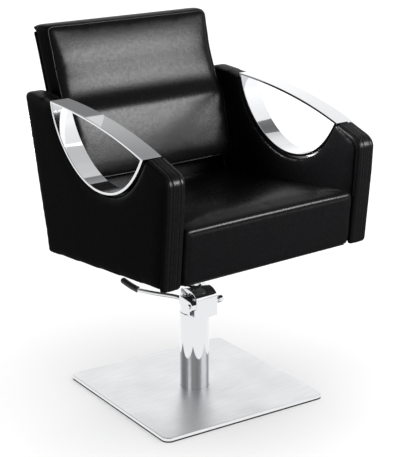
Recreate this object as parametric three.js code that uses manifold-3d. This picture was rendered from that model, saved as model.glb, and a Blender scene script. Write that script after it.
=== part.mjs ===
// Hairdresser's styling chair: a square base with a hydraulic column, a foot lever, a ram, and an
// upholstered seat with a back and two tall arms, each arm topped by a D-shaped chrome ring.
//
// Millimetres, +Z up. The origin is the column's axis at floor level. The chair faces -Y and its
// right-hand arm, seen from the front, is at +X. The seat is swivelled a little on its square base.

import * as THREE from 'three';
import { mergeVertices } from 'three/addons/utils/BufferGeometryUtils.js';
import Module from 'manifold-3d';

const wasm = await Module();
wasm.setup();

// ---- Driving dimensions ----

const GAP = 0.3; // between pieces that touch
const degrees = THREE.MathUtils.degToRad;

const base = { side: 480, corner: 19, turn: degrees(-4.86), pad: 3.5, top: 11.5 };
const tray = { skin: 1.6, rim: 2.7, weightThickness: 5.6 };
const column = { radius: 38, wall: 2, top: 216 };
const pump = { foot: 35.6, footTop: 30, radius: 27, bore: 15.5, boreBottom: 45, top: 205 };
const baseBolt = { circle: 25, head: 8, shank: 4, headDepth: 4, top: 24 };
const head = { halfWidth: 34, collar: 37, collarTop: 262 };
const ram = { radius: 14, bottom: 95, top: 372 };
const seal = { radius: 18, bottom: 283, top: 287.5 };
const pivot = { y: -43, z: 250, radius: 6 };
const clevis = { inner: 37.6, outer: 51.6 };
const lever = { rod: 6, grip: 8.5 };
const hub = { bottom: 336, rim: 21, radius: 27, boreRadius: 14.3, boreTop: 372.5 };

const seat = { halfWidth: 261, tilt: degrees(-3.4), under: 400 };
const board = { halfWidth: 236, front: -272, rear: 140, thickness: 15 };
const mountPlate = { side: 200, thickness: 5, boltAt: 78 };
const back = { halfWidth: 254, shell: 16, board: 15, boardHalfWidth: 238 };
const arm = { inner: 264, outer: 320, facing: 10 };
const ring = { inner: 269.5, outer: 322.7, thickness: 6.5 };
const boltRadius = 4;

// ---- Materials ----

const material = (color, roughness, metalness) => (
  new THREE.MeshStandardMaterial({ color, roughness, metalness })
);
const finish = {
  leather: material(0x16161a, 0.42, 0),
  chrome: material(0xe8eaec, 0.06, 1),
  brushedSteel: material(0xb9bbbd, 0.32, 1),
  paintedSteel: material(0x1b1b1c, 0.5, 0.2),
  zincSteel: material(0x9da1a4, 0.4, 0.9),
  rubber: material(0x101011, 0.8, 0),
  plywood: material(0xb89468, 0.7, 0),
  felt: material(0x18181a, 0.95, 0),
};

// ---- Solids ----

// A closed manifold solid from any closed three.js geometry
function solid(geometry) {
  const bare = geometry.clone();
  bare.deleteAttribute('normal');
  bare.deleteAttribute('uv');
  const merged = mergeVertices(bare, 1e-4);
  const { array } = merged.index;
  const triangles = [];
  for (let i = 0; i < array.length; i += 3) {
    const [a, b, c] = [array[i], array[i + 1], array[i + 2]];
    if (a !== b && b !== c && c !== a) triangles.push([a, b, c]);
  }
  const point = (i) => new THREE.Vector3().fromBufferAttribute(merged.attributes.position, i);
  const volume = triangles.reduce((sum, [a, b, c]) => sum + point(a).dot(point(b).cross(point(c))), 0);
  const outward = triangles.map(([a, b, c]) => (volume < 0 ? [a, c, b] : [a, b, c]));
  return new wasm.Manifold(new wasm.Mesh({
    numProp: 3,
    vertProperties: Float32Array.from(merged.attributes.position.array),
    triVerts: Uint32Array.from(outward.flat()),
  }));
}

// The named mesh of a solid
function meshOf(name, look, body) {
  const { vertProperties, triVerts } = body.getMesh();
  const geometry = new THREE.BufferGeometry();
  geometry.setAttribute('position', new THREE.BufferAttribute(vertProperties, 3));
  geometry.setIndex(new THREE.BufferAttribute(triVerts, 1));
  geometry.computeVertexNormals();
  const mesh = new THREE.Mesh(geometry, look);
  mesh.name = name;
  return mesh;
}

const box = ([x0, y0, z0], [x1, y1, z1]) => {
  const geometry = new THREE.BoxGeometry(x1 - x0, y1 - y0, z1 - z0);
  return solid(geometry.translate((x0 + x1) / 2, (y0 + y1) / 2, (z0 + z1) / 2));
};

// A square slab with rounded corners, standing on the height z
function slab(side, corner, z, height) {
  const half = side / 2;
  const outline = new THREE.Shape();
  const corners = [[1, -1], [1, 1], [-1, 1], [-1, -1]];
  corners.forEach(([x, y], i) => {
    const start = degrees(-90 + 90 * i);
    outline.absarc(x * (half - corner), y * (half - corner), corner, start, start + Math.PI / 2, false);
  });
  return solid(new THREE.ExtrudeGeometry(outline, { depth: height, bevelEnabled: false, curveSegments: 8 })
    .translate(0, 0, z));
}

// A solid of revolution about Z from a closed profile of [radius, z]
function turned(profile, segments = 48) {
  const points = [...profile, profile[0]].map(([r, z]) => new THREE.Vector2(r, z));
  return solid(new THREE.LatheGeometry(points, segments).rotateX(Math.PI / 2));
}

// An upright rod on the Z axis
const rod = (radius, z0, z1, segments = 48) => (
  turned([[0, z0], [radius, z0], [radius, z1], [0, z1]], segments)
);

// A rod lying along X
const crossRod = (radius, x0, x1, y, z, segments = 20) => {
  const geometry = new THREE.CylinderGeometry(radius, radius, x1 - x0, segments);
  return solid(geometry.rotateZ(Math.PI / 2).translate((x0 + x1) / 2, y, z));
};

// An outline drawn in (y, z), carried across from x0 to x1
function acrossX(shape, x0, x1, curveSegments = 10) {
  const toSide = new THREE.Matrix4().makeBasis(
    new THREE.Vector3(0, 1, 0), new THREE.Vector3(0, 0, 1), new THREE.Vector3(1, 0, 0),
  );
  const options = { depth: x1 - x0, bevelEnabled: false, curveSegments };
  return solid(new THREE.ExtrudeGeometry(shape, options).applyMatrix4(toSide).translate(x0, 0, 0));
}

const outlineOf = (points) => new THREE.Shape(points.map(([y, z]) => new THREE.Vector2(y, z)));

// A round bar that follows a path
function bar(points, radius, sides, steps) {
  const path = new THREE.CatmullRomCurve3(points.map((p) => new THREE.Vector3(...p)), false, 'centripetal');
  const section = new THREE.Shape().absarc(0, 0, radius, 0, 2 * Math.PI, false);
  const options = { steps, extrudePath: path, curveSegments: sides / 2 };
  return solid(new THREE.ExtrudeGeometry(section, options));
}

// ---- Base, column and pump ----

function makeBase() {
  const group = new THREE.Group();
  group.rotation.z = base.turn;
  const padTop = base.pad + GAP;
  const plateTop = padTop + tray.weightThickness;
  const innerSide = base.side - 2 * tray.rim;

  const boltAt = [0, 1, 2, 3].map((i) => degrees(45 + 90 * i));
  const atBolt = (body, angle) => body.translate(
    [baseBolt.circle * Math.cos(angle), baseBolt.circle * Math.sin(angle), 0],
  );
  const countersunk = (grow) => turned([
    [0, padTop - grow],
    [baseBolt.head + grow, padTop - grow],
    [baseBolt.shank + grow, padTop + baseBolt.headDepth],
    [baseBolt.shank + grow, baseBolt.top + grow],
    [0, baseBolt.top + grow],
  ], 16);

  let plate = slab(innerSide - 2 * GAP, base.corner - tray.rim, padTop, tray.weightThickness);
  let foot = turned([
    [0, plateTop + GAP],
    [pump.foot, plateTop + GAP],
    [pump.foot, pump.footTop],
    [pump.radius, pump.footTop],
    [pump.radius, pump.top],
    [pump.bore, pump.top],
    [pump.bore, pump.boreBottom],
    [0, pump.boreBottom],
  ]);
  boltAt.forEach((angle) => {
    plate = plate.subtract(atBolt(countersunk(GAP), angle));
    foot = foot.subtract(atBolt(countersunk(GAP), angle));
  });

  const cover = slab(base.side, base.corner, padTop, base.top - padTop)
    .subtract(slab(innerSide, base.corner - tray.rim, padTop - 1, base.top - tray.skin - padTop + 1))
    .subtract(rod(column.radius + GAP, base.pad, base.top + 1));

  const tube = turned([
    [column.radius - column.wall, plateTop + GAP],
    [column.radius, plateTop + GAP],
    [column.radius, column.top],
    [column.radius - column.wall, column.top],
  ]);

  group.add(
    meshOf('floor_pad', finish.rubber, slab(base.side, base.corner, 0, base.pad)),
    meshOf('weight_plate', finish.paintedSteel, plate),
    meshOf('base_cover', finish.brushedSteel, cover),
    meshOf('pump_cylinder', finish.zincSteel, foot),
    meshOf('column_tube', finish.chrome, tube),
    ...boltAt.map((angle, i) => (
      meshOf(`base_bolt_${i + 1}`, finish.zincSteel, atBolt(countersunk(0), angle))
    )),
  );
  return group;
}

// The casting on the column: a rounded crest, and on its left cheek a pocket and a slot for the lever
function makeHead() {
  const profile = new THREE.Shape();
  profile.moveTo(-52, 212);
  profile.lineTo(-52, 262);
  profile.bezierCurveTo(-50, 276, -34, 286, -10, 286);
  profile.bezierCurveTo(4, 286, 15, 284, 15, 274);
  profile.lineTo(15, 212);
  const top = column.top + GAP;
  const casting = acrossX(profile, -head.halfWidth, head.halfWidth)
    .add(rod(head.collar, top, head.collarTop))
    .subtract(rod(column.radius + GAP, 0, top))
    .subtract(rod(ram.radius + GAP, 0, 400))
    .subtract(rod(seal.radius + GAP, seal.bottom - GAP, 400))
    .subtract(box([-40, -47.5, 262], [-16, 6, 268]).add(box([-40, -28, 246], [-16, 6, 262])))
    .subtract(box([-40, -43, 218], [-18, -24, 238]))
    .subtract(crossRod(pivot.radius + GAP, -40, 40, pivot.y, pivot.z));
  const sealRing = turned([
    [ram.radius + GAP, seal.bottom],
    [seal.radius, seal.bottom],
    [seal.radius - 1.5, seal.top],
    [ram.radius + GAP, seal.top],
  ]);
  return [
    meshOf('pump_head', finish.chrome, casting),
    meshOf('ram_seal', finish.rubber, sealRing),
  ];
}

// ---- Foot lever ----

function makeLever() {
  const x = -(clevis.inner + clevis.outer) / 2;
  const heel = [x, -8, 259];
  const route = [heel, [x - 3, 12, 262], [-70, 66, 259.5], [-88, 122, 258]];
  const gripRoute = [[-89, 125.5, 258.6], [-95, 148, 264], [-103, 178, 276]];

  const cheek = outlineOf([
    [pivot.y - 13, 244], [pivot.y - 13, 256], [pivot.y - 6, 263], [-16, 268], [-3, 268],
    [-3, 250], [-12, 243], [pivot.y - 6, 238],
  ]);
  const axleHole = crossRod(pivot.radius + GAP, -60, -30, pivot.y, pivot.z);
  const rodHole = bar([[x + 1.5, -18, 257.5], heel, [x - 3, 12, 262]], lever.rod + GAP, 16, 6);
  const screwHole = rod(2.3, 262, 275, 12).translate([x + 1, -11, 0]);
  const block = acrossX(cheek, -clevis.outer, -clevis.inner).subtract(axleHole).subtract(rodHole)
    .subtract(screwHole);

  const shaft = crossRod(pivot.radius, -clevis.outer - 3, 42, pivot.y, pivot.z);
  const knob = crossRod(9.5, 41, 55, pivot.y, pivot.z, 24);
  const screw = rod(2, 264.8, 272, 12).translate([x + 1, -11, 0]);

  return [
    meshOf('lever_axle', finish.chrome, shaft.add(knob)),
    meshOf('lever_clevis', finish.chrome, block),
    meshOf('lever_rod', finish.chrome, bar(route, lever.rod, 16, 20)),
    meshOf('lever_grip', finish.rubber, bar(gripRoute, lever.grip, 16, 8)),
    meshOf('clevis_screw', finish.zincSteel, screw),
  ];
}

// ---- Seat, in a frame that leans back with the seat's underside ----

function makeHub() {
  const body = turned([
    [0, seat.under], [hub.radius, seat.under], [hub.radius, hub.bottom + 22], [hub.rim, hub.bottom],
    [hub.boreRadius, hub.bottom], [hub.boreRadius, hub.boreTop], [0, hub.boreTop],
  ]);
  const above = box([-150, -150, -mountPlate.thickness - GAP], [150, 150, 60]);
  const leaning = above.rotate([THREE.MathUtils.radToDeg(seat.tilt), 0, 0]).translate([0, 0, seat.under]);
  return meshOf('seat_hub', finish.paintedSteel, body.subtract(leaning));
}

function makeSeat() {
  const tilted = new THREE.Group();
  tilted.position.z = seat.under;
  tilted.rotation.x = seat.tilt;

  // Heights in this frame run from the seat's underside
  const cushionOutline = outlineOf([
    [-291.5, 0], [-309.5, 121], [-306.5, 130], [-297, 135], [-160, 138], [0, 138], [150, 138],
    [186, 134], [169, 0],
  ]);
  const boardBox = (grow, bottom) => box(
    [-board.halfWidth - grow, board.front - grow, bottom],
    [board.halfWidth + grow, board.rear + grow, board.thickness + grow],
  );
  const boltPlaces = [[-1, -1], [1, -1], [1, 1], [-1, 1]].map(([x, y]) => [
    x * mountPlate.boltAt, y * mountPlate.boltAt, 0,
  ]);
  const headTop = -mountPlate.thickness - GAP;
  const plateBolt = turned([
    [0, headTop - 5], [8, headTop - 5], [8, headTop], [boltRadius, headTop], [boltRadius, 12], [0, 12],
  ], 12);
  const boltHole = () => rod(boltRadius + GAP, -20, 12 + GAP, 12);

  const half = mountPlate.side / 2;
  let plate = box([-half, -half, -mountPlate.thickness], [half, half, -GAP]);
  let plywood = boardBox(0, 0);
  boltPlaces.forEach((place) => {
    plate = plate.subtract(boltHole().translate(place));
    plywood = plywood.subtract(boltHole().translate(place));
  });

  const cushion = acrossX(cushionOutline, -seat.halfWidth, seat.halfWidth).subtract(boardBox(GAP, -5));
  const lap = 14;
  const cover = box(
    [-board.halfWidth - lap, board.front - lap, -1.5],
    [board.halfWidth + lap, board.rear + lap, -GAP],
  ).subtract(box([-half - 1, -half - 1, -10], [half + 1, half + 1, 10]));

  tilted.add(
    meshOf('seat_plate', finish.paintedSteel, plate),
    meshOf('seat_board', finish.plywood, plywood),
    meshOf('dust_cover', finish.felt, cover),
    meshOf('seat_cushion', finish.leather, cushion),
    ...boltPlaces.map((place, i) => (
      meshOf(`plate_bolt_${i + 1}`, finish.zincSteel, plateBolt.translate(place))
    )),
  );
  return tilted;
}

// ---- Back ----

// The back's rear face, as y at a height: upright between the arms, leaning more above them
const rearFace = (z) => (z < 786 ? 203 + (z - 395) * 0.2225 : 290 + (z - 786) * 0.335);

// A slat that runs up behind the back, between two distances in front of its rear face
function slat(near, far, bottom, top) {
  const heights = [bottom, 786, top];
  return outlineOf([
    ...heights.map((z) => [rearFace(z) - near, z]),
    ...heights.reverse().map((z) => [rearFace(z) - far, z]),
  ]);
}

function makeBack() {
  const boardNear = back.shell + GAP;
  const cushionNear = boardNear + back.board + GAP;
  const front = [
    [178, 556], [154, 556], [147, 566], [147, 590], [153, 610], [162, 653], [171, 693], [179, 733],
    [200, 757], [213, 782], [222, 800], [240, 847], [247, 876], [262, 923], [268, 944], [278, 952],
  ];
  const rear = [
    [302, 946], [rearFace(926) - GAP, 938], [rearFace(926) - GAP, 926 + GAP],
    [rearFace(906) - cushionNear, 926 + GAP], [rearFace(906) - cushionNear, 906],
    [rearFace(786) - cushionNear, 786], [rearFace(556) - cushionNear, 556],
  ];
  const cushion = acrossX(outlineOf([...front, ...rear]), -back.halfWidth, back.halfWidth);
  const boardOutline = slat(boardNear, boardNear + back.board, 420, 905);
  const plywood = acrossX(boardOutline, -back.boardHalfWidth, back.boardHalfWidth);
  const shell = acrossX(slat(0, back.shell, 395, 926), -back.halfWidth, back.halfWidth);
  return [
    meshOf('back_cushion', finish.leather, cushion),
    meshOf('back_board', finish.plywood, plywood),
    meshOf('back_shell', finish.leather, shell),
  ];
}

// ---- Arms ----

// The ring's outline: a long arched top and a round belly, meeting in a rear and a front corner.
// grow moves it outwards, and a negative grow draws its inner edge.
function ringOutline(grow) {
  const rear = [147 + grow * 1.15, 784 + grow * 0.7];
  const front = [-228 - grow * 1.45, 711 + grow * 0.35];
  const bottom = 598.5 - grow;
  const outline = new THREE.Shape();
  outline.moveTo(...rear);
  outline.bezierCurveTo(27, 778 + grow, -108, 756 + grow, ...front);
  outline.bezierCurveTo(-188 - grow, 635 - grow, -133, bottom, -60, bottom);
  outline.bezierCurveTo(38, bottom, 132 + grow, 691 - grow, ...rear);
  return outline;
}

// The arm's whole side outline, from its rear foot forwards, up its front and back along its top.
// An inset draws its front and top edges further in, and its underside lower.
function armSide(inset) {
  const outline = new THREE.Shape();
  outline.moveTo(190, 387 - inset);
  outline.lineTo(-280 + inset, 414 - inset);
  outline.quadraticCurveTo(-292 + inset, 414.5 - inset, -293 + inset, 424);
  outline.lineTo(-309 + inset, 600);
  outline.lineTo(-312 + inset, 662 - inset / 2);
  outline.quadraticCurveTo(-311 + inset, 681 - inset, -289 + inset / 2, 690.5 - inset);
  outline.lineTo(-215, 718 - inset);
  outline.lineTo(147, 786);
  outline.lineTo(262, 793);
  outline.quadraticCurveTo(281, 792, 277, 772);
  return outline;
}

function makeArm(side) {
  const name = side < 0 ? 'left' : 'right';
  const span = (inner, outer) => (side < 0 ? [-outer, -inner] : [inner, outer]);
  const across = (shape, inner, outer) => acrossX(shape, ...span(inner, outer));

  const cutForRing = across(ringOutline(GAP), arm.inner - 5, arm.outer + 5)
    .add(across(outlineOf([[-228, 711], [-60, 740], [147, 784], [152, 830], [-240, 830]]),
      arm.inner - 5, arm.outer + 5));
  const cutForFacing = across(armSide(0), arm.inner - 1, arm.outer + 1)
    .subtract(across(armSide(arm.facing + GAP), arm.inner - 2, arm.outer + 2));
  const front = (y) => box([-400, -500, 380], [400, y, 720]);

  // The bolts that hold the arm to the seat's board and to the back's board
  const boltPlaces = [[-180, 418], [60, 404]];
  const backBoltPlace = [236, 700];
  const bolt = (grow, [y, z], from) => {
    const [x0, x1] = span(from, 292 + grow);
    return crossRod(boltRadius + grow, x0, x1, y, z, 12);
  };

  let panel = across(armSide(0), arm.inner, arm.outer)
    .subtract(cutForRing)
    .subtract(cutForFacing.intersect(front(-234)));
  [backBoltPlace, ...boltPlaces].forEach((place) => {
    panel = panel.subtract(bolt(GAP, place, 250));
  });

  const facing = across(armSide(0), arm.inner, arm.outer)
    .subtract(across(armSide(arm.facing), arm.inner - 2, arm.outer + 2))
    .intersect(front(-234 - GAP))
    .subtract(cutForRing);

  const band = across(ringOutline(0), ring.inner, ring.outer)
    .subtract(across(ringOutline(-ring.thickness), ring.inner - 5, ring.outer + 5));

  const holders = boltPlaces.map((place, i) => meshOf(
    `arm_bolt_${name}_${i + 1}`, finish.zincSteel, bolt(0, place, 262.2),
  ));
  return [
    meshOf(`arm_panel_${name}`, finish.leather, panel),
    meshOf(`arm_facing_${name}`, finish.leather, facing),
    meshOf(`arm_ring_${name}`, finish.chrome, band),
    meshOf(`back_bolt_${name}`, finish.zincSteel, bolt(0, backBoltPlace, 254.6)),
    ...holders,
  ];
}

// ---- The chair ----

const chair = new THREE.Group();
chair.add(
  makeBase(),
  ...makeHead(),
  ...makeLever(),
  meshOf('ram', finish.chrome, rod(ram.radius, ram.bottom, ram.top)),
  makeHub(),
  makeSeat(),
  ...makeBack(),
  ...makeArm(-1),
  ...makeArm(1),
);

export default chair;
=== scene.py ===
"""Styling chair: leather upholstery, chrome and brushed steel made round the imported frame.

Metres, +Z up. The chair faces -Y and its left side is at -X. Outlines are in millimetres and are
scaled once, by MM, where a mesh is made.
"""

import math

import bmesh
import bpy
from mathutils import Matrix, Vector, bvhtree, kdtree


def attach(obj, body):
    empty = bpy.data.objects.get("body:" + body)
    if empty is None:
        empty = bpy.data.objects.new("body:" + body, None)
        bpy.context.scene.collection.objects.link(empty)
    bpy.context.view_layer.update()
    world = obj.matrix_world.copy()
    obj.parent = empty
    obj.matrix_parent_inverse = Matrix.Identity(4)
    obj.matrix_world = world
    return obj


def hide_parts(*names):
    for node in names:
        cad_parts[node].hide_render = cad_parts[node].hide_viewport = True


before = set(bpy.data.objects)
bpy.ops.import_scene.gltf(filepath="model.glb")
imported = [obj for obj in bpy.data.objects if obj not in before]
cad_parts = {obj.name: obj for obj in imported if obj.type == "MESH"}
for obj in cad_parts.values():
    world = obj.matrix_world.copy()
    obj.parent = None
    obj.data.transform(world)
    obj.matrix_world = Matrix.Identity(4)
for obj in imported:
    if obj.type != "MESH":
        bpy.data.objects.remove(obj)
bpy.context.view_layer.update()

MM = 0.001
SEAT_TILT = math.radians(-3.4)  # the seat's underside leans back
SEAT_UNDER = 400  # height of the seat's underside over the column
BASE_TURN = math.radians(-4.86)  # the square base against the chair
BASE_SIDE, BASE_CORNER = 480, 19  # the base's side and its corners' radius
COLUMN = 38  # the column's radius
ARM_IN, ARM_OUT = 264, 320  # inner and outer side of an arm
ARM_MIDDLE, ARM_HALF = (ARM_OUT + ARM_IN) / 2, (ARM_OUT - ARM_IN) / 2
RING_IN, RING_OUT, RING_THICK = 269.5, 322.7, 6.5
FACING = 10  # thickness of the padded strip on an arm's front
GROOVE_AT = 11.0  # an arm's two sewn grooves run this far to each side of its middle
THREAD_AT = 3.6  # and a row of stitches this far to each side of a groove
BACK_HALF, SEAT_HALF = 254, 261  # half the width of the back and of the seat
BACK_FOOT, BACK_BEND, BACK_TOP = 402, 786, 926  # heights where its rear face starts, bends and ends


# ---- Materials ----

def linear(colour):
    """An sRGB hex colour as the linear RGBA that a shader takes."""
    parts = [int(colour[i:i + 2], 16) / 255 for i in (1, 3, 5)]
    return [p / 12.92 if p <= 0.04045 else ((p + 0.055) / 1.055) ** 2.4 for p in parts] + [1.0]


def add(tree, kind, inputs=None, **settings):
    """A shader node with its settings; an input is a value, or another node's output to link."""
    node = tree.nodes.new("ShaderNode" + kind)
    for name, value in settings.items():
        setattr(node, name, value)
    for name, value in (inputs or {}).items():
        if isinstance(value, bpy.types.NodeSocket):
            tree.links.new(value, node.inputs[name])
        else:
            node.inputs[name].default_value = value
    return node


def new_material(name):
    """An empty node material, its tree and its object coordinates."""
    material = bpy.data.materials.new(name)
    material.use_nodes = True
    tree = material.node_tree
    tree.nodes.clear()
    return material, tree, add(tree, "TexCoord").outputs["Object"]


def finish_with(tree, inputs):
    """Ends a material in a Principled surface."""
    surface = add(tree, "BsdfPrincipled", inputs)
    add(tree, "OutputMaterial", {"Surface": surface.outputs["BSDF"]})


def per_metre(size_mm):
    """The texture scale whose pattern repeats about every size_mm."""
    return 1000 / size_mm


def coated_leather():
    """PU-coated upholstery leather, embossed: a satin black that breaks up into a fine pebble grain."""
    material, tree, at = new_material("coated_leather")
    pebble = add(tree, "TexVoronoi", {"Vector": at, "Scale": per_metre(2.2)}, feature="SMOOTH_F1")
    mottle = add(tree, "TexNoise", {"Vector": at, "Scale": per_metre(9), "Detail": 4.0, "Roughness": 0.65})
    slack = add(tree, "TexNoise", {"Vector": at, "Scale": per_metre(70), "Detail": 2.0})
    shade = add(tree, "MapRange", {
        "Value": mottle.outputs["Fac"], "From Min": 0.3, "From Max": 0.7, "To Min": 0.25, "To Max": 0.34})
    tint = add(tree, "ValToRGB", {"Fac": mottle.outputs["Fac"]})
    tint.color_ramp.elements[0].color = linear("#070708")
    tint.color_ramp.elements[1].color = linear("#0c0c0d")
    soft = add(tree, "Bump", {"Height": slack.outputs["Fac"], "Strength": 0.25, "Distance": 2.0 * MM})
    patch = add(tree, "Bump", {
        "Height": mottle.outputs["Fac"], "Strength": 0.26, "Distance": 0.5 * MM,
        "Normal": soft.outputs["Normal"]})
    grain = add(tree, "Bump", {
        "Height": pebble.outputs["Distance"], "Strength": 0.25, "Distance": 0.35 * MM,
        "Normal": patch.outputs["Normal"]})
    finish_with(tree, {
        "Base Color": tint.outputs["Color"], "Roughness": shade.outputs["Result"],
        "Specular IOR Level": 0.08, "Normal": grain.outputs["Normal"]})
    return material


def polished_chrome():
    """Bright chrome plate over polished steel: a clean mirror with the faintest haze."""
    material, tree, at = new_material("polished_chrome")
    haze = add(tree, "TexNoise", {"Vector": at, "Scale": per_metre(35), "Detail": 3.0})
    rough = add(tree, "MapRange", {
        "Value": haze.outputs["Fac"], "From Min": 0.35, "From Max": 0.75, "To Min": 0.03, "To Max": 0.075})
    finish_with(tree, {
        "Base Color": linear("#dcdddf"), "Metallic": 1.0, "Roughness": rough.outputs["Result"]})
    return material


def brushed_stainless():
    """Stainless sheet brushed one way: long hairlines that smear what it mirrors."""
    material, tree, at = new_material("brushed_stainless")
    turn = add(tree, "Mapping", {"Vector": at, "Rotation": (0, 0, -BASE_TURN), "Scale": (1, 60, 1)})
    lines = add(tree, "TexNoise", {
        "Vector": turn.outputs["Vector"], "Scale": per_metre(60), "Detail": 3.0, "Roughness": 0.6})
    cloud = add(tree, "TexNoise", {"Vector": at, "Scale": per_metre(120), "Detail": 3.0})
    rough = add(tree, "MapRange", {
        "Value": cloud.outputs["Fac"], "From Min": 0.3, "From Max": 0.7, "To Min": 0.33, "To Max": 0.42})
    tint = add(tree, "ValToRGB", {"Fac": lines.outputs["Fac"]})
    tint.color_ramp.elements[0].position = 0.3
    tint.color_ramp.elements[0].color = linear("#d6d7d9")
    tint.color_ramp.elements[1].position = 0.7
    tint.color_ramp.elements[1].color = linear("#ecedee")
    hair = add(tree, "Bump", {"Height": lines.outputs["Fac"], "Strength": 0.05, "Distance": 0.1 * MM})
    finish_with(tree, {
        "Base Color": tint.outputs["Color"], "Metallic": 1.0, "Roughness": rough.outputs["Result"],
        "Normal": hair.outputs["Normal"]})
    return material


def fine_surface(name, low, high, grain_mm, depth_mm, roughness, metallic=0.0, specular=0.5):
    """A plain finish with a fine grain: its colour and its surface both vary a little."""
    material, tree, at = new_material(name)
    grain = add(tree, "TexNoise", {"Vector": at, "Scale": per_metre(grain_mm), "Detail": 4.0})
    tint = add(tree, "ValToRGB", {"Fac": grain.outputs["Fac"]})
    tint.color_ramp.elements[0].position = 0.3
    tint.color_ramp.elements[0].color = linear(low)
    tint.color_ramp.elements[1].position = 0.7
    tint.color_ramp.elements[1].color = linear(high)
    rough = add(tree, "MapRange", {
        "Value": grain.outputs["Fac"], "From Min": 0.3, "From Max": 0.7,
        "To Min": roughness - 0.05, "To Max": roughness + 0.05})
    bump = add(tree, "Bump", {"Height": grain.outputs["Fac"], "Strength": 0.4, "Distance": depth_mm * MM})
    finish_with(tree, {
        "Base Color": tint.outputs["Color"], "Metallic": metallic, "Roughness": rough.outputs["Result"],
        "Specular IOR Level": specular, "Normal": bump.outputs["Normal"]})
    return material


def birch_plywood():
    """Rotary-cut birch veneer, unfinished: pale, with long grain lines."""
    material, tree, at = new_material("birch_plywood")
    stretch = add(tree, "Mapping", {"Vector": at, "Scale": (0.06, 1, 1)})
    grain = add(tree, "TexNoise", {
        "Vector": stretch.outputs["Vector"], "Scale": per_metre(9), "Detail": 5.0, "Distortion": 0.6})
    tint = add(tree, "ValToRGB", {"Fac": grain.outputs["Fac"]})
    tint.color_ramp.elements[0].position = 0.35
    tint.color_ramp.elements[0].color = linear("#a9845a")
    tint.color_ramp.elements[1].position = 0.65
    tint.color_ramp.elements[1].color = linear("#d0ae80")
    bump = add(tree, "Bump", {"Height": grain.outputs["Fac"], "Strength": 0.3, "Distance": 0.2 * MM})
    finish_with(tree, {
        "Base Color": tint.outputs["Color"], "Roughness": 0.65, "Normal": bump.outputs["Normal"]})
    return material


LEATHER = coated_leather()
CHROME = polished_chrome()
STAINLESS = brushed_stainless()
# Moulded EPDM rubber: dull, almost without a highlight
RUBBER = fine_surface("moulded_rubber", "#0b0b0b", "#131313", 1.2, 0.15, 0.78, specular=0.35)
# A softer PVC sleeve, dipped: black with a low satin shine
GRIP_PVC = fine_surface("dipped_pvc_grip", "#0c0c0d", "#151516", 2.0, 0.1, 0.42, specular=0.45)
# Bright zinc plating: grey with a slight blue, cloudy
ZINC = fine_surface("zinc_plate", "#8d9196", "#a9adb1", 6.0, 0.03, 0.36, metallic=1.0)
# Black powder coat: an orange-peel skin
POWDER_COAT = fine_surface("black_powder_coat", "#101011", "#161617", 1.6, 0.12, 0.45)
# Bonded polyester cloth under the seat: matt, fuzzy
DUST_CLOTH = fine_surface("non_woven_cloth", "#0e0e0f", "#1b1b1c", 0.9, 0.3, 0.93, specular=0.2)
# Bonded nylon thread: a little brighter than the leather
THREAD = fine_surface("nylon_thread", "#121213", "#1b1b1c", 0.5, 0.1, 0.5)
PLYWOOD = birch_plywood()


# ---- Making meshes ----

def show(bm, name, material, sharp=35):
    """The bmesh as an object, smooth but for edges sharper than that many degrees."""
    mesh = bpy.data.meshes.new(name)
    bm.to_mesh(mesh)
    bm.free()
    mesh.shade_smooth()
    mesh.set_sharp_from_angle(angle=math.radians(sharp))
    mesh.materials.append(material)
    piece = bpy.data.objects.new(name, mesh)
    bpy.context.scene.collection.objects.link(piece)
    return piece


def stands_for(piece, body, slot, *nodes):
    """The piece rides on its body and takes the place of CAD nodes; its slot argument is not used."""
    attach(piece, body)
    if nodes:
        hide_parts(*nodes)
    return piece


def bake(piece):
    """Applies the piece's modifiers."""
    bpy.context.view_layer.update()
    shaped = piece.evaluated_get(bpy.context.evaluated_depsgraph_get())
    mesh = bpy.data.meshes.new_from_object(shaped)
    piece.modifiers.clear()
    piece.data = mesh


def combine(piece, bm, operation="DIFFERENCE"):
    """Cuts the bmesh's solid from the piece, or joins it on."""
    tool = show(bm, "tool", piece.data.materials[0])
    step = piece.modifiers.new("step", "BOOLEAN")
    step.object, step.operation, step.solver = tool, operation, "EXACT"
    bake(piece)
    bpy.data.objects.remove(tool)


def edit(piece, change):
    """Runs change on the piece's mesh as a bmesh."""
    bm = bmesh.new()
    bm.from_mesh(piece.data)
    change(bm)
    bm.to_mesh(piece.data)
    bm.free()


def grid_skin(around, along, place):
    """A skin of around by along faces, place(u, v) putting each crossing, closed where edges meet."""
    bm = bmesh.new()
    bmesh.ops.create_grid(bm, x_segments=around, y_segments=along, size=0.5)
    for vert in bm.verts:
        vert.co = place(vert.co.x + 0.5, vert.co.y + 0.5)
    bmesh.ops.remove_doubles(bm, verts=bm.verts, dist=1e-6)
    bmesh.ops.holes_fill(bm, edges=[e for e in bm.edges if e.is_boundary], sides=0)
    bmesh.ops.recalc_face_normals(bm, faces=bm.faces)
    return bm


def across(outline, x0, x1):
    """A closed outline of (y, z) in millimetres, carried across from x0 to x1."""
    bm = bmesh.new()
    face = bm.faces.new([bm.verts.new((x0 * MM, y * MM, z * MM)) for y, z in outline])
    grown = bmesh.ops.extrude_face_region(bm, geom=[face])
    moved = [g for g in grown["geom"] if isinstance(g, bmesh.types.BMVert)]
    bmesh.ops.translate(bm, verts=moved, vec=((x1 - x0) * MM, 0, 0))
    bmesh.ops.recalc_face_normals(bm, faces=bm.faces)
    return bm


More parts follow.
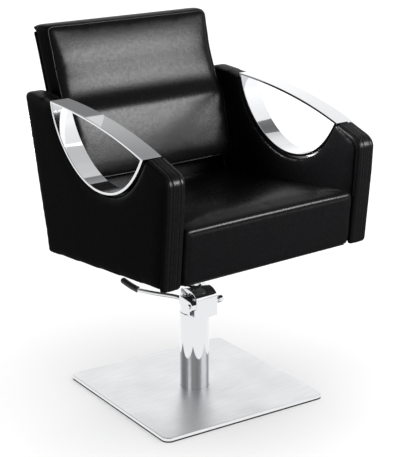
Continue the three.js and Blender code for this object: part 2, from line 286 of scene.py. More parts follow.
def turned(profile, segments=96):
    """A solid of revolution about Z from an open profile of (radius, z) that ends on the axis, in mm."""
    bm = bmesh.new()
    verts = [bm.verts.new((r * MM, 0, z * MM)) for r, z in profile]
    edges = [bm.edges.new(pair) for pair in zip(verts, verts[1:])]
    bmesh.ops.spin(bm, geom=verts + edges, cent=(0, 0, 0), axis=(0, 0, 1), angle=2 * math.pi,
                   steps=segments, use_merge=True)
    bmesh.ops.remove_doubles(bm, verts=bm.verts, dist=1e-6)
    bmesh.ops.recalc_face_normals(bm, faces=bm.faces)
    return bm


def round_edges(bm, radius, segments=3, pick=lambda edge: edge.calc_face_angle(0) > math.radians(30)):
    """Rounds the picked edges to that radius in millimetres."""
    bmesh.ops.bevel(bm, geom=[e for e in bm.edges if pick(e)], offset=radius * MM, segments=segments,
                    profile=0.5, affect="EDGES", material=-1, clamp_overlap=True)
    return bm


def curve(p0, p1, p2, p3, steps):
    """Points of a cubic curve, without its last one."""
    out = []
    for i in range(steps):
        t = i / steps
        a, b, c, d = (1 - t) ** 3, 3 * (1 - t) ** 2 * t, 3 * (1 - t) * t ** 2, t ** 3
        out.append((a * p0[0] + b * p1[0] + c * p2[0] + d * p3[0],
                    a * p0[1] + b * p1[1] + c * p2[1] + d * p3[1]))
    return out


def corner(before, at, after, steps=8):
    """A rounded corner from before to after, drawn towards at."""
    mix = lambda p, q, t: (p[0] + (q[0] - p[0]) * t, p[1] + (q[1] - p[1]) * t)
    return [mix(mix(before, at, t), mix(at, after, t), t) for t in (i / steps for i in range(steps + 1))]


def along(points, closed=False):
    """A function of 0 to 1 that runs evenly along a line of points."""
    line = [Vector(p) for p in points] + ([Vector(points[0])] if closed else [])
    marks = [0.0]
    for a, b in zip(line, line[1:]):
        marks.append(marks[-1] + (b - a).length)

    def at(t):
        want = min(max(t, 0.0), 1.0) * marks[-1]
        i = next((k for k in range(1, len(marks)) if marks[k] >= want), len(marks) - 1)
        span = marks[i] - marks[i - 1] or 1.0
        return line[i - 1].lerp(line[i], (want - marks[i - 1]) / span)

    at.length = marks[-1]
    return at


def smooth_route(points, rounds=3):
    """The line with its corners cut down a few times, ends kept."""
    line = [Vector(p) for p in points]
    for _ in range(rounds):
        cut = [line[0]]
        for a, b in zip(line, line[1:]):
            cut += [a.lerp(b, 0.25), a.lerp(b, 0.75)]
        line = cut + [line[-1]]
    return line


def rope(points, radius, sides=12, steps=None, closed=False, swell=lambda v: 1.0):
    """A round bar along a line of points in millimetres; swell(v) scales its radius along the way."""
    at = along(points, closed)
    steps = steps or max(8, int(at.length / (radius * 1.2)))
    ends = 1e-4
    rings = []
    side = Vector((0, 0, 1))
    for i in range(steps + 1):
        v = i / steps
        ahead = at((v + ends) % 1.0 if closed else v + ends) - at((v - ends) % 1.0 if closed else v - ends)
        ahead.normalize()
        side = (side - ahead * side.dot(ahead))
        if side.length < 1e-3:
            side = ahead.orthogonal()
        side.normalize()
        rings.append((at(v % 1.0 if closed else v), side.copy(), ahead.cross(side)))

    def place(u, v):
        middle, right, up = rings[round(v * steps)]
        turn = 2 * math.pi * u
        return (middle + (right * math.cos(turn) + up * math.sin(turn)) * radius * swell(v)) * MM

    return grid_skin(sides, steps, place)


# ---- Upholstery ----

def share(value):
    """The value kept between 0 and 1."""
    return min(1.0, max(0.0, value))


def relax(piece, rounds):
    """Evens the skin's points out."""
    def smooth(bm):
        for _ in range(rounds):
            bmesh.ops.smooth_vert(bm, verts=bm.verts, factor=0.5, use_axis_x=True, use_axis_y=True,
                                  use_axis_z=True)

    edit(piece, smooth)


def foam(bm, name, voxel=6, cap=6, free=lambda x, y, z: 1.0):
    """A leather-covered foam body: an even skin, swollen by cloth under pressure, then refined once.

    voxel is the skin's spacing and cap the furthest it may swell, in millimetres. free(x, y, z), in
    millimetres too, is 1 where the cover may move and 0 where it is glued down.
    """
    piece = show(bm, name, LEATHER, sharp=180)
    voxels = piece.modifiers.new("voxels", "REMESH")
    voxels.mode, voxels.voxel_size = "VOXEL", voxel * MM
    bake(piece)
    relax(piece, 5)
    swell(piece, cap, free)
    relax(piece, 2)
    finer = piece.modifiers.new("finer", "SUBSURF")
    finer.levels = finer.render_levels = 1
    bake(piece)
    piece.data.shade_smooth()
    piece.data.materials.clear()
    piece.data.materials.append(LEATHER)
    return piece


def swell(piece, cap, free, pressure=4.0, frames=20):
    """Cloth under air pressure, without gravity; no point moves further than cap millimetres."""
    before = [v.co.copy() for v in piece.data.vertices]
    cover = piece.modifiers.new("cover", "CLOTH")
    cover.settings.quality = 4
    cover.settings.mass = 0.3
    cover.settings.use_pressure = True
    cover.settings.uniform_pressure_force = pressure
    cover.settings.effector_weights.gravity = 0
    cover.point_cache.frame_end = frames
    scene = bpy.context.scene
    for number in range(1, frames + 1):
        scene.frame_set(number)
    shaped = piece.evaluated_get(bpy.context.evaluated_depsgraph_get())
    after = [v.co.copy() for v in shaped.data.vertices]
    piece.modifiers.remove(cover)
    scene.frame_set(1)
    for vert, start, end in zip(piece.data.vertices, before, after):
        step = end - start
        vert.co = start + step * min(1.0, cap * MM / max(step.length, 1e-9)) * free(*(start / MM))


def press_seam(piece, line, depth, width):
    """Draws the leather in along a line of points in millimetres, as thread does."""
    at = along(line)
    count = int(at.length / 1.5) + 1
    tree = kdtree.KDTree(count + 1)
    for i in range(count + 1):
        tree.insert(at(i / count) * MM, i)
    tree.balance()
    normals = [v.normal.copy() for v in piece.data.vertices]
    for vert, normal in zip(piece.data.vertices, normals):
        _, _, gap = tree.find(vert.co)
        if gap < 3 * width * MM:
            vert.co -= normal * depth * MM * math.exp(-(gap / (width * MM)) ** 2)
    piece.data.update()


def on_surface(piece, line, lift=0.0):
    """The line's points, in millimetres, moved on to the piece's skin and lifted off it."""
    tree = bvhtree.BVHTree.FromPolygons([v.co for v in piece.data.vertices],
                                        [p.vertices for p in piece.data.polygons])
    out = []
    for point in line:
        place, normal, _, _ = tree.find_nearest(Vector(point) * MM)
        out.append((place / MM + normal * lift, normal))
    return out


def stitches(name, piece, lines, body, pitch=6.5, length=4.2, thick=0.9):
    """Rows of thread on the piece, one short bar to each stitch."""
    bm = bmesh.new()
    for line in lines:
        at = along(line)
        count = int(at.length / pitch)
        rough = [at((i + 0.5) / count) for i in range(count)]
        ahead = [(at((i + 0.8) / count) - at((i + 0.2) / count)).normalized() for i in range(count)]
        for (place, normal), forward in zip(on_surface(piece, rough, 0.15), ahead):
            side = normal.cross(forward).normalized()
            up = forward.cross(side)
            laid = Matrix((forward, side, up)).transposed().to_4x4()
            stretch = Matrix.Diagonal((length, thick, thick, 1))
            bmesh.ops.create_icosphere(
                bm, subdivisions=1, radius=0.5 * MM,
                matrix=Matrix.Translation(place * MM) @ laid @ stretch)
    thread = show(bm, name, THREAD)
    return stands_for(thread, body, "leather")


# ---- Seat ----

def tilt(point):
    """A point from the seat's leaning frame to the chair's, in millimetres."""
    x, y, z = point
    return (x, y * math.cos(SEAT_TILT) - z * math.sin(SEAT_TILT),
            y * math.sin(SEAT_TILT) + z * math.cos(SEAT_TILT) + SEAT_UNDER)


def make_seat():
    """The box cushion: a top panel that dishes under the sitter, and a plain fascia."""
    side = SEAT_HALF + 1.5  # the cover's thickness past the seat box
    outline = [(-292.5, -2.5), (-310.5, 124), (-310, 138.5), (0, 138), (183, 136), (169, -2.5)]
    bm = across([tilt((0, y, z))[1:] for y, z in outline], -side, side)
    round_edges(bm, 9, 4, lambda e: e.calc_face_angle(0) > math.radians(30)
                and min(v.co.z for v in e.verts) > (SEAT_UNDER + 120) * MM)

    def top_only(x, y, z):
        height = z - SEAT_UNDER - y * math.sin(SEAT_TILT)
        return 0.08 + 0.92 * share((height - 122) / 12) * share((y + 306) / 14)

    piece = foam(bm, "seat_upholstery", 6, 4, top_only)

    def dish(b):
        for vert in b.verts:
            x, y, z = vert.co / MM
            height = z - SEAT_UNDER - y * math.sin(SEAT_TILT)
            hollow = 15 * math.exp(-(x / 150) ** 2 - ((y - 50) / 130) ** 2)
            crown = 7 * (1 - (x / 262) ** 4) * math.exp(-((y + 210) / 90) ** 2)
            vert.co.z += share((height - 100) / 25) * (crown - hollow) * MM

    edit(piece, dish)

    # The pocket in its underside that the seat board fits
    pocket_x, pocket_front, pocket_rear, pocket_top = 237.5, -273.5, 141.5, 16
    pocket = [(pocket_front, -20), (pocket_rear, -20), (pocket_rear, pocket_top), (pocket_front, pocket_top)]
    combine(piece, across([tilt((0, y, z))[1:] for y, z in pocket], -pocket_x, pocket_x))

    fascia_seam = [tilt((x, -311, 123.5)) for x in range(-258, 259, 6)]
    press_seam(piece, fascia_seam, 2.6, 2.0)
    for x in (-250, 250):
        press_seam(piece, [tilt((x, -310 + 18 * (120 - z) / 120, z)) for z in range(120, 0, -6)], 1.2, 2)
    stands_for(piece, "seat", "leather", "seat_cushion")


# ---- Back ----

# The cushion's front face, (y, z) upwards: the lumbar section, the fold, the head section
BACK_FRONT = [(147, 566), (149, 590), (153.5, 612), (162, 653), (171, 693), (179, 731), (187, 744),
              (204, 758), (213, 777), (222, 802), (232, 826), (240, 849), (247, 876), (262, 923), (267, 940)]


def rear_face(height):
    """The back's rear face: y at a height."""
    if height < BACK_BEND:
        return 203 + (height - 395) * 0.2225
    return 290 + (height - BACK_BEND) * 0.335


def make_back():
    """The back cushion: one cover over a head section and a lumbar section, piped round its front."""
    tuck = 3  # the block starts this much small, because its cover swells
    joint = 15.8  # from the rear face in to where the rear panel starts
    side = BACK_HALF - 1
    front = [(150 + tuck, 559)] + [(y + tuck, z) for y, z in BACK_FRONT[1:]]
    lip = rear_face(BACK_TOP) - 1.5
    top = [(278, 950 - tuck), (303, 944), (lip, 938), (lip, BACK_TOP)]
    rear = [(rear_face(z) - joint, z) for z in (BACK_TOP, BACK_BEND, BACK_FOOT)]
    foot = [(rear_face(BACK_FOOT) - 34, BACK_FOOT), (rear_face(559) - 36, 559)]
    bm = across(front + top + rear + foot, -side, side)
    round_edges(bm, 5, 3, lambda e: e.calc_face_angle(0) > math.radians(40)
                and max(v.co.z for v in e.verts) > 500 * MM)

    def padding(x, y, z):
        return 0.1 + 0.9 * share((rear_face(z) - 40 - y) / 20)

    piece = foam(bm, "back_upholstery", 6, 6, padding)
    # The pocket that the back board fits, and below it an apron over the board's foot
    board = ((420, 419.6), (BACK_BEND, BACK_BEND), (905, 905.4))
    pocket = ([(rear_face(at) - 31.3, z) for at, z in board]
              + [(rear_face(at) + 9, z) for at, z in reversed(board)])
    combine(piece, across(pocket, -238.5, 238.5))
    apron = [(rear_face(z) - deep, z) for z, deep in ((403, 35), (403, 31.8), (566, 31.8), (566, 35))]
    combine(piece, across(apron, -SEAT_HALF, SEAT_HALF), "UNION")

    def crown(b):
        for vert in b.verts:
            x, y, z = vert.co / MM
            face = along_front(z)
            if y < face + 22:
                sideways = max(0.0, 1 - (x / 240) ** 6)
                upper = math.exp(-((z - 870) / 62) ** 4)
                lower = math.exp(-((z - 645) / 70) ** 4)
                vert.co.y -= sideways * (4.0 * upper + 3.5 * lower) * MM

    edit(piece, crown)
    make_welt(piece)
    stands_for(piece, "seat", "leather", "back_cushion")


def make_welt(piece):
    """The piping round the cushion's front, sunk in its own groove."""
    low, high = 567, 941
    inset = 24
    edge = BACK_HALF - 3
    right = [(edge, along_front(z) + 1, z) for z in range(low + inset, high - inset + 1, 6)]
    top = corner((edge, high - inset), (edge, high), (edge - inset, high))
    bottom = corner((-edge + inset, low), (-edge, low), (-edge, low + inset))
    bottom_right = corner((edge - inset, low), (edge, low), (edge, low + inset))
    top_left = corner((-edge, high - inset), (-edge, high), (-edge + inset, high))
    lift = lambda pairs: [(x, along_front(z) + 1, z) for x, z in pairs]
    across_top = [(x, along_front(high) + 1, high) for x in range(edge - inset, inset - edge, -12)]
    across_low = [(x, along_front(low) + 1, low) for x in range(inset - edge, edge - inset, 12)]
    left = [(-x, y, z) for x, y, z in reversed(right)]
    loop = (right + lift(top) + across_top + lift(reversed(top_left)) + left
            + lift(reversed(bottom)) + across_low + lift(bottom_right))
    press_seam(piece, loop + [loop[0]], 2.2, 5)
    welt_line = [p for p, _ in on_surface(piece, [Vector(p) for p in loop], 1.0)]
    welt = show(rope(welt_line, 2.3, sides=10, steps=420, closed=True), "back_welt", LEATHER, sharp=180)
    stands_for(welt, "seat", "leather")


def along_front(height):
    """The back cushion's front face: y at a height."""
    for (y0, z0), (y1, z1) in zip(BACK_FRONT, BACK_FRONT[1:]):
        if z0 < z1 and z0 <= height <= z1:
            return y0 + (y1 - y0) * (height - z0) / (z1 - z0)
    return BACK_FRONT[0][0] if height < BACK_FRONT[0][1] else BACK_FRONT[-1][0]


def make_back_shell():
    """The upholstered panel behind the back."""
    heights = [396, 480, 590, 690, 760, BACK_BEND, 812, 880, 925.7]
    outline = ([(rear_face(z) - 15.2, z) for z in heights]
               + [(rear_face(z) - 1.5, z) for z in reversed(heights)])
    bm = across(outline, -BACK_HALF + 1, BACK_HALF - 1)

    def rear_only(x, y, z):
        return 0.08 + 0.92 * share((y - rear_face(z) + 9) / 5)

    piece = foam(bm, "back_shell_upholstery", 6, 3, rear_only)
    stands_for(piece, "seat", "leather", "back_shell")
    rows = []
    for inset in (16, 22):
        edge, top = BACK_HALF - inset, BACK_TOP - inset
        rows.append([(edge, rear_face(z), z) for z in range(412, top, 8)])
        rows.append([(-edge, rear_face(z), z) for z in range(412, top, 8)])
        rows.append([(x, rear_face(top), top) for x in range(-edge, edge + 1, 8)])
    for row in rows:
        press_seam(piece, row, 0.8, 2.6)
    stitches("back_shell_stitches", piece, rows, "seat")


# ---- Arms ----

def ring_outline(grow, steps=40):
    """The D-ring's outline: a long arched top and a round belly that meet in two corners."""
    rear = (147 + grow * 1.15, 784 + grow * 0.7)
    front = (-228 - grow * 1.45, 711 + grow * 0.35)
    low = (-60, 598.5 - grow)
    top = curve(rear, (27, 778 + grow), (-108, 756 + grow), front, steps)
    belly_front = curve(front, (-188 - grow, 635 - grow), (-133, low[1]), low, steps)
    belly_rear = curve(low, (38, low[1]), (132 + grow, 691 - grow), rear, steps)
    return top, belly_front + belly_rear


def arm_front(inset):
    """The arm's front edge, from its foot up and back over the rounded corner to the ring."""
    foot = corner((-283, 413.5 + inset), (-292.5 + inset, 414 + inset), (-293 + inset, 425), 6)
    shoulder = corner((-312 + inset, 662 - inset / 2), (-311 + inset, 681 - inset),
                      (-289 + inset / 2, 690.5 - inset))
    return foot + [(-301 + inset, 512), (-309 + inset, 600)] + shoulder + [(-236, 710.2 - inset)]


def paired(outer, inner):
    """A function of 0 to 1 that runs along two lines of matching points at once."""
    marks = [0.0]
    for a, b in zip(outer, outer[1:]):
        marks.append(marks[-1] + math.dist(a, b))

    def at(t):
        want = min(max(t, 0.0), 1.0) * marks[-1]
        i = next((k for k in range(1, len(marks)) if marks[k] >= want), len(marks) - 1)
        part = (want - marks[i - 1]) / (marks[i] - marks[i - 1])
        return [Vector((0, *line[i - 1])).lerp(Vector((0, *line[i])), part) for line in (outer, inner)]

    return at


def make_panel():
    """The left arm's foam body with its D-shaped cut, rounded most where a hand passes over it."""
    tuck = 3
    belly = ring_outline(1.5)[1]
    front = arm_front(FACING + 0.5)[7:-1]  # between its foot's corner and the ring
    outline = ([(191, 387.3), (-281, 414.2)] + front + [(-236, 710.2 - tuck)]
               + belly[1:] + [(150, 784 - tuck), (258, 793 - tuck)]
               + corner((262, 792.5 - tuck), (282 - tuck, 792 - tuck), (279 - tuck, 772))[:-1]
               + [(279 - tuck, 768)])
    inner_x = (-ARM_IN - 1) * MM
    bm = across(outline, -ARM_OUT + tuck, -ARM_IN - 1)
    centre = Vector((0, -45, 780)) * MM

    def in_cut(edge):
        middle = (edge.verts[0].co + edge.verts[1].co) / 2
        return 590 * MM < middle.z < 775 * MM and -226 * MM < middle.y < 148 * MM

    def on_inner_rim(edge):
        middle = (edge.verts[0].co + edge.verts[1].co) / 2
        middle.x = 0
        level = all(abs(v.co.x - inner_x) < 1e-5 for v in edge.verts)
        near = (middle - centre).length < 205 * MM and middle.z > 598 * MM and middle.y > -225 * MM
        return level and near and in_cut(edge)

    round_edges(bm, 12, 5, on_inner_rim)
    round_edges(bm, 4.5, 3, lambda e: e.calc_face_angle(0) > math.radians(60) and not in_cut(e))
    return foam(bm, "arm_upholstery_left", voxel=5, cap=4)


def facing_section(u):
    """The front strip's section as (x, out), once round: over its crown, and back underneath.

    The crown is shallow, sinks at two sewn grooves, and rolls over both edges.
    """
    roll, groove_wide, groove_deep = 9, 1.6, 0.9
    over, flat = 0.8, 0.72  # the shares of the turn over the top, and of that up to the roll
    if u > over:
        return ARM_HALF - 2 * ARM_HALF * (u - over) / (1 - over), 0.6
    t = (u / over) * 2 - 1
    if abs(t) > flat:
        turn = (abs(t) - flat) / (1 - flat) * math.pi / 2
        x = ARM_HALF - roll + roll * math.sin(turn)
        out = FACING - roll + roll * math.cos(turn) - 0.3
    else:
        x = (ARM_HALF - roll) * abs(t) / flat
        out = FACING - 0.3 + 1.2 * (1 - (x / ARM_HALF) ** 2)
    out -= groove_deep * math.exp(-((x - GROOVE_AT) / groove_wide) ** 2)
    return math.copysign(x, t), out


def make_facing():
    """The left arm's padded front strip."""
    front_line = paired(arm_front(0), arm_front(FACING))

    def place(u, v):
        x, out = facing_section(u)
        top, base = front_line(v)
        return (base.lerp(top, out / FACING) + Vector((x - ARM_MIDDLE, 0, 0))) * MM

    return show(grid_skin(100, 170, place), "arm_facing_cover_left", LEATHER, sharp=55)


def rows_beside(line, offsets, marks):
    """Rows of points at those marks along an arm's line, each that far to the side of its middle."""
    return [[Vector((offset - ARM_MIDDLE, 0, 0)) + line(mark) for mark in marks] for offset in offsets]


def make_arm():
    """The left arm's pieces; the right arm is their mirror image."""
    panel = make_panel()
    facing = make_facing()
    both = [side * GROOVE_AT + shift for side in (-1, 1) for shift in (-THREAD_AT, THREAD_AT)]
    front = along([(0, y, z) for y, z in arm_front(0)])
    sewn = rows_beside(front, both, [i / 60 for i in range(1, 60)])
    facing_thread = stitches("arm_facing_stitches_left", facing, sewn, "seat")

    top_rear = ([(156, 785), (200, 789), (250, 792.5)] + corner((262, 792.5), (279, 792), (276, 772))
                + [(252, 665), (222, 520), (194, 400)])
    rear = along([(0, y, z) for y, z in top_rear])
    rear_rows = rows_beside(rear, (-GROOVE_AT, GROOVE_AT), [i / 80 for i in range(81)])
    for row in rear_rows:
        press_seam(panel, row, 1.4, 2.8)
    doubled = [[p + Vector((shift, 0, 0)) for p in row]
               for row in rear_rows for shift in (-THREAD_AT, THREAD_AT)]
    panel_thread = stitches("arm_panel_stitches_left", panel, doubled, "seat")
    return panel, facing, facing_thread, panel_thread


def other_side(piece, name):
    """The mirror image of a piece on the other side of the chair."""
    mesh = piece.data.copy()
    mesh.transform(Matrix.Scale(-1, 4, (1, 0, 0)))
    mesh.flip_normals()
    twin = bpy.data.objects.new(name, mesh)
    bpy.context.scene.collection.objects.link(twin)
    return twin


def make_arms():
    """Both arms, each piece in its CAD node's place."""
    panel, facing, facing_thread, panel_thread = make_arm()
    for side in ("left", "right"):
        if side == "right":
            panel = other_side(panel, "arm_upholstery_right")
            facing = other_side(facing, "arm_facing_cover_right")
            stands_for(other_side(facing_thread, "arm_facing_stitches_right"), "seat", "leather")
            stands_for(other_side(panel_thread, "arm_panel_stitches_right"), "seat", "leather")
        stands_for(panel, "seat", "leather", f"arm_panel_{side}")
        stands_for(facing, "seat", "leather", f"arm_facing_{side}")


def bar_section(ease=0.9, hold=0.8):
    """Round a flat bar's section: (x, depth) points, its corners eased and its flats held flat."""
    near, far = ease, RING_THICK - ease
    out = []
    for x, depth, start in ((RING_OUT - ease, near, -90), (RING_OUT - ease, far, 0),
                            (RING_IN + ease, far, 90), (RING_IN + ease, near, 180)):
        arc = [math.radians(start + step) for step in (0, 30, 60, 90)]
        points = [(x + ease * math.cos(t), depth + ease * math.sin(t)) for t in arc]
        into, away = (math.sin(arc[0]), -math.cos(arc[0])), (-math.sin(arc[-1]), math.cos(arc[-1]))
        out.append((points[0][0] + into[0] * hold, points[0][1] + into[1] * hold))
        out += points
        out.append((points[-1][0] + away[0] * hold, points[-1][1] + away[1] * hold))
    return out


def make_rings():
    """The chrome armrests: one flat bar bent to a D, its long edges eased."""
    section = bar_section()
    lines = []
    for _, depth in section:
        top, belly = ring_outline(-depth, 90)
        lines.append(top + belly)
    count = len(lines[0])
    for side, sign in (("left", -1), ("right", 1)):
        def place(u, v):
            i, k = round(u * len(section)) % len(section), round(v * count) % count
            return Vector((sign * section[i][0], *lines[i][k])) * MM

        ring = show(grid_skin(len(section), count, place), f"arm_ring_bar_{side}", CHROME, sharp=33)
        stands_for(ring, "seat", "chrome", f"arm_ring_{side}")


# ---- Metalwork ----

def rounded_square(side, radius, steps=12):
    """The base's outline in its own square frame."""
    half = side / 2 - radius
    out = []
    for quarter, (x, y) in enumerate(((1, -1), (1, 1), (-1, 1), (-1, -1))):
        for i in range(steps + 1):
            turn = math.radians(-90 + 90 * quarter) + math.pi / 2 * i / steps
            out.append((x * half + radius * math.cos(turn), y * half + radius * math.sin(turn)))
    return out


def base_slab(side, radius, low, high, edge):
    """A square slab with round corners and an eased rim, turned with the base."""
    bm = bmesh.new()
    face = bm.faces.new([bm.verts.new((x * MM, y * MM, low * MM)) for x, y in rounded_square(side, radius)])
    grown = bmesh.ops.extrude_face_region(bm, geom=[face])
    moved = [g for g in grown["geom"] if isinstance(g, bmesh.types.BMVert)]
    bmesh.ops.translate(bm, verts=moved, vec=(0, 0, (high - low) * MM))
    bmesh.ops.recalc_face_normals(bm, faces=bm.faces)
    if edge:
        round_edges(bm, edge, 3, lambda e: e.calc_face_angle(0) > math.radians(60)
                    and min(v.co.z for v in e.verts) > (high - 0.01) * MM)
        top = max(bm.faces, key=lambda f: (f.normal.z > 0.9) * f.calc_area())
        bmesh.ops.inset_individual(bm, faces=[top], thickness=2 * MM, depth=0)
    bmesh.ops.rotate(bm, verts=bm.verts, cent=(0, 0, 0), matrix=Matrix.Rotation(BASE_TURN, 3, "Z"))
    return bm


def make_base():
    """The brushed tray with its polished rim, the rubber mat under it, and the column."""
    cover = show(base_slab(BASE_SIDE, BASE_CORNER, 3.8, 11.5, 1.3), "base_tray", STAINLESS, sharp=50)
    cover.data.materials.append(CHROME)
    for face in cover.data.polygons:
        if face.normal.z < 0.93 and face.area < 0.02:
            face.material_index = 1
    combine(cover, base_slab(BASE_SIDE - 5, BASE_CORNER - 2.5, -5, 9.8, 0))
    combine(cover, turned([(0, 0), (COLUMN + 0.35, 0), (COLUMN + 0.35, 20), (0, 20)]))
    cover.data.shade_smooth()
    cover.data.set_sharp_from_angle(angle=math.radians(50))
    stands_for(cover, "base", "brushed_steel", "base_cover")

    pad = show(base_slab(BASE_SIDE, BASE_CORNER, 0, 3.5, 0.8), "floor_rubber", RUBBER, sharp=50)
    stands_for(pad, "base", "base_rubber", "floor_pad")

    bore, eased = COLUMN - 2, COLUMN - 0.8
    wall = [(bore, 9.8), (eased, 9.8), (COLUMN, 10.6), (COLUMN, 215.2), (eased, 216), (bore, 216),
            (bore, 9.8)]
    tube = show(turned(wall, 128), "column_cover", CHROME)
    stands_for(tube, "base", "chrome", "column_tube")


def make_head():
    """The pump's head: a rounded casting over the column, with the lever's pocket in its left cheek."""
    nose = curve((-52, 262), (-50, 276), (-34, 286), (-10, 286), 20)
    heel = curve((-10, 286), (4, 286), (15, 284), (15, 274), 14)
    profile = [(-52, 212)] + nose + heel + [(15, 274), (15, 212)]
    solid = across(profile, -34, 34)
    round_edges(solid, 1.2, 3, lambda e: abs(e.verts[0].co.x - e.verts[1].co.x) < 1e-6
                and e.calc_face_angle(0) > math.radians(50))
    cheeks = [f for f in solid.faces if abs(f.normal.x) > 0.99]
    bmesh.ops.inset_individual(solid, faces=cheeks, thickness=1.0 * MM, depth=0)
    block = show(solid, "pump_head_casting", CHROME, sharp=40)
    upright = lambda radius, low, high: turned([(0, low), (radius, low), (radius, high), (0, high)], 96)
    collar = turned([(0, 216.3), (36, 216.3), (37, 217.3), (37, 261), (36, 262), (0, 262)], 96)
    combine(block, collar, "UNION")
    combine(block, upright(COLUMN + 0.3, 100, 216.3))
    # The pocket that the lever swings in, and its slot down the cheek
    combine(block, across([(-47.5, 262), (6, 262), (6, 268), (-47.5, 268)], -40, -16))
    combine(block, across([(-28, 246), (6, 246), (6, 263), (-28, 263)], -40, -16))
    combine(block, across([(-43, 218), (-24, 218), (-24, 238), (-43, 238)], -40, -18))
    # The ram's bore and the seat of its wiper
    combine(block, upright(14.4, 100, 400))
    combine(block, upright(18.3, 282.7, 400))
    block.data.shade_smooth()
    block.data.set_sharp_from_angle(angle=math.radians(28))
    stands_for(block, "base", "chrome", "pump_head")

    wiper = show(turned([(14.3, 283), (18, 283), (18, 285), (16.6, 287.4), (14.3, 287.4), (14.3, 283)]),
                 "ram_wiper", RUBBER)
    stands_for(wiper, "base", "base_rubber", "ram_seal")


def make_lever():
    """The foot lever: clevis, bent chrome rod and rubber grip, with the cross pin's knob."""
    x = -44.6
    rod_line = smooth_route([(x, -8, 259), (x - 3, 12, 262), (-70, 66, 259.5), (-88, 122, 258)])
    rod = show(rope(rod_line, 6, sides=32, steps=70), "lever_bar", CHROME, sharp=60)
    stands_for(rod, "lever", "chrome", "lever_rod")

    def sleeve(v):
        """Thicker than the bar, ribbed, and domed at its outer end."""
        dome = math.sqrt(max(0.0, 1 - max(0.0, (v - 0.86) / 0.14) ** 2)) * 0.93 + 0.05
        lip = 1 + 0.06 * math.exp(-((v - 0.03) / 0.025) ** 2)
        rib = 1 + 0.035 * math.cos(v * 2 * math.pi * 11) * (0.12 < v < 0.82)
        return dome * lip * rib

    grip_line = smooth_route([(-89, 125.5, 258.6), (-95, 148, 264), (-103, 178, 276)])
    grip = show(rope(grip_line, 8.5, sides=32, steps=150, swell=sleeve), "lever_sleeve", GRIP_PVC, sharp=60)
    stands_for(grip, "lever", "grip_rubber", "lever_grip")

    pin_y, pin_z = -43, 250
    knob = show(round_edges(across_rod(9.5, 41, 55, pin_y, pin_z), 2, 3), "lever_knob", CHROME, sharp=50)
    pin = show(across_rod(6, -54.6, 41.5, pin_y, pin_z), "lever_pin", CHROME, sharp=50)
    stands_for(knob, "lever", "chrome", "lever_axle")
    stands_for(pin, "lever", "chrome")


def across_rod(radius, x0, x1, y, z, segments=48):
    """A plain round rod lying along X."""
    bm = bmesh.new()
    place = Matrix.Translation(Vector(((x0 + x1) / 2, y, z)) * MM) @ Matrix.Rotation(math.pi / 2, 4, "Y")
    bmesh.ops.create_cone(bm, cap_ends=True, segments=segments, radius1=radius * MM, radius2=radius * MM,
                          depth=(x1 - x0) * MM, matrix=place)
    return bm


def make_ram():
    """The chrome piston rod."""
    rod = show(turned([(0, 95), (13, 95), (14, 96), (14, 371), (13, 372), (0, 372)], 96), "ram_rod", CHROME)
    stands_for(rod, "ram", "chrome", "ram")


# ---- CAD pieces that keep their shape ----

KEPT = {
    "weight_plate": POWDER_COAT, "pump_cylinder": ZINC, "lever_clevis": CHROME, "clevis_screw": ZINC,
    "seat_hub": POWDER_COAT, "seat_plate": POWDER_COAT, "seat_board": PLYWOOD, "back_board": PLYWOOD,
    "dust_cover": DUST_CLOTH,
}


def dress_frame():
    """A real finish on every CAD piece that is still seen."""
    for name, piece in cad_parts.items():
        look = KEPT.get(name, ZINC if "bolt" in name else None)
        if look:
            piece.data.materials.clear()
            piece.data.materials.append(look)


# ---- Studio ----

def make_floor():
    """A sweep of pale paper."""
    floor_material, tree, at = new_material("paper_sweep")
    fibre = add(tree, "TexNoise", {"Vector": at, "Scale": per_metre(4), "Detail": 3.0})
    tint = add(tree, "ValToRGB", {"Fac": fibre.outputs["Fac"]})
    tint.color_ramp.elements[0].color = linear("#f4f4f4")
    tint.color_ramp.elements[1].color = linear("#f9f9f9")
    finish_with(tree, {"Base Color": tint.outputs["Color"], "Roughness": 0.9, "Specular IOR Level": 0.1})
    bm = bmesh.new()
    bmesh.ops.create_grid(bm, x_segments=1, y_segments=1, size=12)
    floor = show(bm, "studio_floor", floor_material)
    floor.visible_glossy = False  # the pieces mirror the dim room below, not the lit paper
    return floor


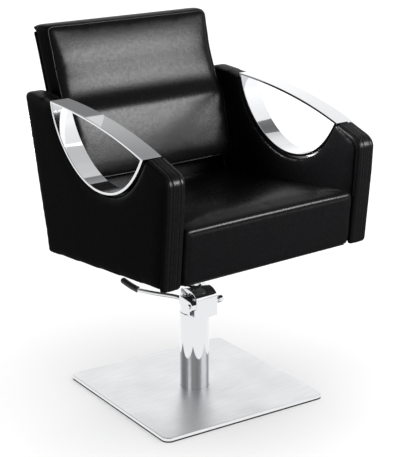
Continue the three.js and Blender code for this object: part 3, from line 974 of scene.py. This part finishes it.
def make_room():
    """The world: white to the eye, and an uneven dim room in the mirror of every surface."""
    world = bpy.data.worlds.new("studio")
    bpy.context.scene.world = world
    world.use_nodes = True
    tree = world.node_tree
    tree.nodes.clear()
    # The room: brightest low at the rear right, dimmer ahead and overhead, with soft uneven patches
    way = add(tree, "TexCoord").outputs["Generated"]
    aim = add(tree, "VectorMath", {0: way, 1: (0.6, 0.76, 0.25)}, operation="DOT_PRODUCT")
    wall = add(tree, "MapRange", {
        "Value": aim.outputs["Value"], "From Min": 0.35, "From Max": 0.95, "To Min": 0.42, "To Max": 0.95},
        interpolation_type="SMOOTHSTEP")
    up = add(tree, "SeparateXYZ", {"Vector": way})
    ceiling = add(tree, "MapRange", {
        "Value": up.outputs["Z"], "From Min": 0.45, "From Max": 0.8, "To Min": 1.0, "To Max": 0.45},
        interpolation_type="SMOOTHSTEP")
    patch = add(tree, "TexNoise", {"Vector": way, "Scale": 2.6, "Detail": 1.0})
    uneven = add(tree, "MapRange", {
        "Value": patch.outputs["Fac"], "From Min": 0.4, "From Max": 0.6, "To Min": 0.65, "To Max": 1.1})
    lit = add(tree, "Math", {0: wall.outputs["Result"], 1: ceiling.outputs["Result"]}, operation="MULTIPLY")
    lit = add(tree, "Math", {0: lit.outputs[0], 1: uneven.outputs["Result"]}, operation="MULTIPLY")
    # Below the horizon there is black cloth, for the leather to mirror
    above = add(tree, "MapRange", {
        "Value": up.outputs["Z"], "From Min": -0.12, "From Max": -0.02, "To Min": 0.0, "To Max": 1.0},
        interpolation_type="SMOOTHSTEP")
    lit = add(tree, "Mix", {"Factor": above.outputs["Result"], 2: 0.13, 3: lit.outputs[0]})
    room = add(tree, "Background", {"Color": (1, 1, 1, 1), "Strength": lit.outputs[0]})
    paper = add(tree, "Background", {"Color": (1, 1, 1, 1), "Strength": 1.0})
    ray = add(tree, "LightPath")
    mix = add(tree, "MixShader", {
        "Fac": ray.outputs["Is Camera Ray"], 1: room.outputs[0], 2: paper.outputs[0]})
    add(tree, "OutputWorld", {"Surface": mix.outputs[0]})
    bpy.context.scene.view_settings.view_transform = "Standard"


def towards(azimuth, elevation):
    """The direction that many degrees round from -Y towards +X, and up."""
    a, e = math.radians(azimuth), math.radians(elevation)
    return Vector((math.sin(a) * math.cos(e), -math.cos(a) * math.cos(e), math.sin(e)))


def aimed(name, kind, azimuth, elevation, distance, power):
    """A lamp that looks at the seat from that way round and up, in degrees."""
    lamp = bpy.data.objects.new(name, bpy.data.lights.new(name, kind))
    away = towards(azimuth, elevation)
    lamp.location = Vector((0, 0, 0.7)) + away * distance
    lamp.rotation_mode = "QUATERNION"
    lamp.rotation_quaternion = away.to_track_quat("Z", "Y")
    lamp.data.energy = power
    bpy.context.scene.collection.objects.link(lamp)
    return lamp


def flagged(lamp, pieces):
    """Flags keep the lamp's light on those pieces only."""
    group = bpy.data.collections.new(lamp.name)
    for piece in pieces:
        group.objects.link(piece)
    lamp.light_linking.receiver_collection = group


def softbox(name, azimuth, elevation, distance, power, wide, high, pieces):
    """A flat lamp of that size in metres, for those pieces only."""
    lamp = aimed(name, "AREA", azimuth, elevation, distance, power)
    lamp.data.shape, lamp.data.size, lamp.data.size_y = "RECTANGLE", wide, high
    flagged(lamp, pieces)
    return lamp


def light_leather(leather):
    """A key for the front, a rim from behind for the right arm, and a low strip for the rear."""
    right_arm = [p for p in leather if p.name.startswith("arm_") and p.name.endswith("_right")]
    softbox("key_softbox", 33, 17, 3.0, 275, 1.5, 1.0, leather)
    softbox("rim_softbox", -140, 35, 3.0, 650, 1.3, 1.3, right_arm)
    softbox("low_rear_strip", 150, -14, 2.3, 45, 1.6, 0.25, leather)


def light_metal(metal):
    """White and grey cards for the chrome and the steel to mirror."""
    rings = [p for p in metal if "ring" in p.name]
    but_left_ring = [p for p in metal if p.name != "arm_ring_bar_left"]
    softbox("rear_card", 134, 28, 3.0, 16, 3.0, 2.9, but_left_ring)
    softbox("front_card", 42, 26, 3.0, 30, 3.0, 3.4, metal)
    softbox("side_card", -80, 25, 3.0, 7, 1.2, 1.6, metal)
    softbox("top_card", 90, 72, 3.0, 11, 2.5, 2.5, metal)
    # Small grey cards tucked upright between each ring and the back, which would mirror black leather
    for side in (-1, 1):
        tucked = softbox("tucked_card", -90 * side, 0, 1.0, 0.045, 0.28, 0.2, rings)
        tucked.location = Vector((257.3 * side, 150, 870)) * MM
    # The white paper as the metal mirrors it
    softbox("paper_glow", 0, -90, 0.699, 460, 12, 12, metal)


def make_lights(floor):
    """Separate lamps for the leather, for the metal and for the paper."""
    pieces = [o for o in bpy.context.scene.objects if o.type == "MESH" and o is not floor]
    soft = {LEATHER, THREAD}
    light_leather([p for p in pieces if soft & set(p.data.materials)])
    light_metal([p for p in pieces if not soft & set(p.data.materials)])
    wash = aimed("paper_wash", "SUN", 0, 80, 3.0, 3.2)
    wash.data.angle = math.radians(120)
    flagged(wash, [floor])


def make_camera():
    """A long lens from the front left, a little above the seat."""
    lens = bpy.data.cameras.new("camera")
    lens.lens, lens.sensor_width = 105.28, 36
    camera = bpy.data.objects.new("camera", lens)
    camera.location = (-1.9976, -2.5479, 1.4285)
    camera.rotation_mode = "QUATERNION"
    back = towards(-38.36, 17.02)
    roll = Matrix.Rotation(math.radians(-0.15), 3, "Z").to_quaternion()
    camera.rotation_quaternion = (-back).to_track_quat("-Z", "Y") @ roll
    bpy.context.scene.collection.objects.link(camera)
    bpy.context.scene.camera = camera


make_camera()
studio_floor = make_floor()
make_room()
make_seat()
make_back()
make_back_shell()
make_arms()
make_rings()
make_base()
make_head()
make_lever()
make_ram()
dress_frame()
make_lights(studio_floor)
